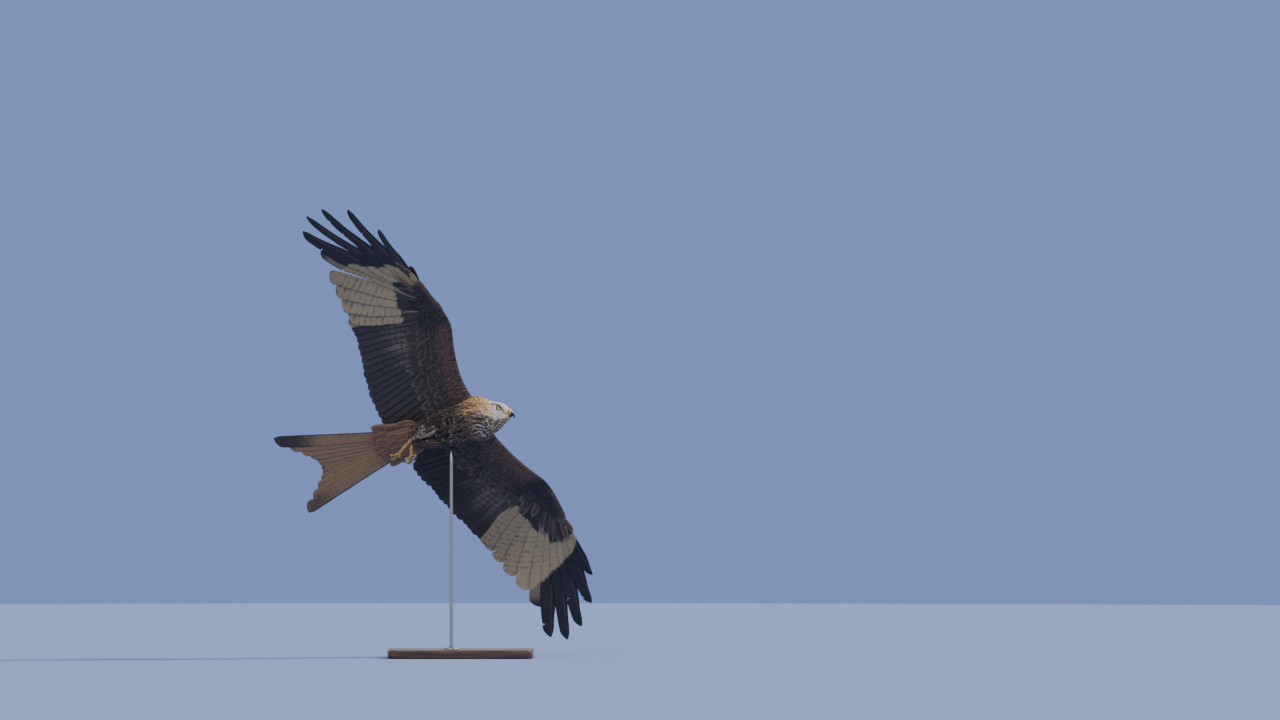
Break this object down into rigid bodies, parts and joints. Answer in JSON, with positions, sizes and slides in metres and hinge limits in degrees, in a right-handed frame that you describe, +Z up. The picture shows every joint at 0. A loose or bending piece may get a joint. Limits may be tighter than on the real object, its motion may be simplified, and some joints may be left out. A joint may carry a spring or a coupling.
{
  "type": "red kite bird",
  "caption": "Life-size red kite in a banked glide, wings spread and forked tail fanned, fixed on one upright rod from a flat base.",
  "frame": {"origin": "centre of the stand's underside, on the floor", "axes": "+Z up, +X the way the bird's head points in level view, +Y away from the side that shows the underwings"},
  "size_m": [0.8793, 0.507, 1.235],
  "materials": {
    "plumage_brown": "matt, dark brown body feathers with pale streaks",
    "plumage_rufous": "matt, golden-rufous neck feathers with dark streaks",
    "plumage_grey": "matt, pale grey head feathers with fine dark streaks",
    "wing_brown": "matt, blackish and brown wing feathers with a pale window",
    "tail_rufous": "matt, rufous and pale grey tail feathers",
    "skin_yellow": "satin, yellow scaled skin",
    "horn_black": "semi-gloss, black horn",
    "iris": "glossy, pale yellow iris round a black pupil",
    "base_wood": "satin, dark brown wood",
    "rod_steel": "satin, grey metal"
  },
  "bodies": {
    "root": {"torso": "plumage_brown", "neck": "plumage_rufous", "head": "plumage_grey", "bill_upper": "horn_black", "bill_lower": "horn_black", "tail": "tail_rufous", "eye_left": "iris", "wing_left": "wing_brown", "leg_left": "skin_yellow", "foot_left": "skin_yellow", "talon_left_1": "horn_black", "talon_left_2": "horn_black", "talon_left_3": "horn_black", "talon_left_4": "horn_black", "eye_right": "iris", "wing_right": "wing_brown", "leg_right": "skin_yellow", "foot_right": "skin_yellow", "talon_right_1": "horn_black", "talon_right_2": "horn_black", "talon_right_3": "horn_black", "talon_right_4": "horn_black", "stand_base": "base_wood", "stand_collar": "rod_steel", "stand_rod": "rod_steel"}
  },
  "joints": []
}
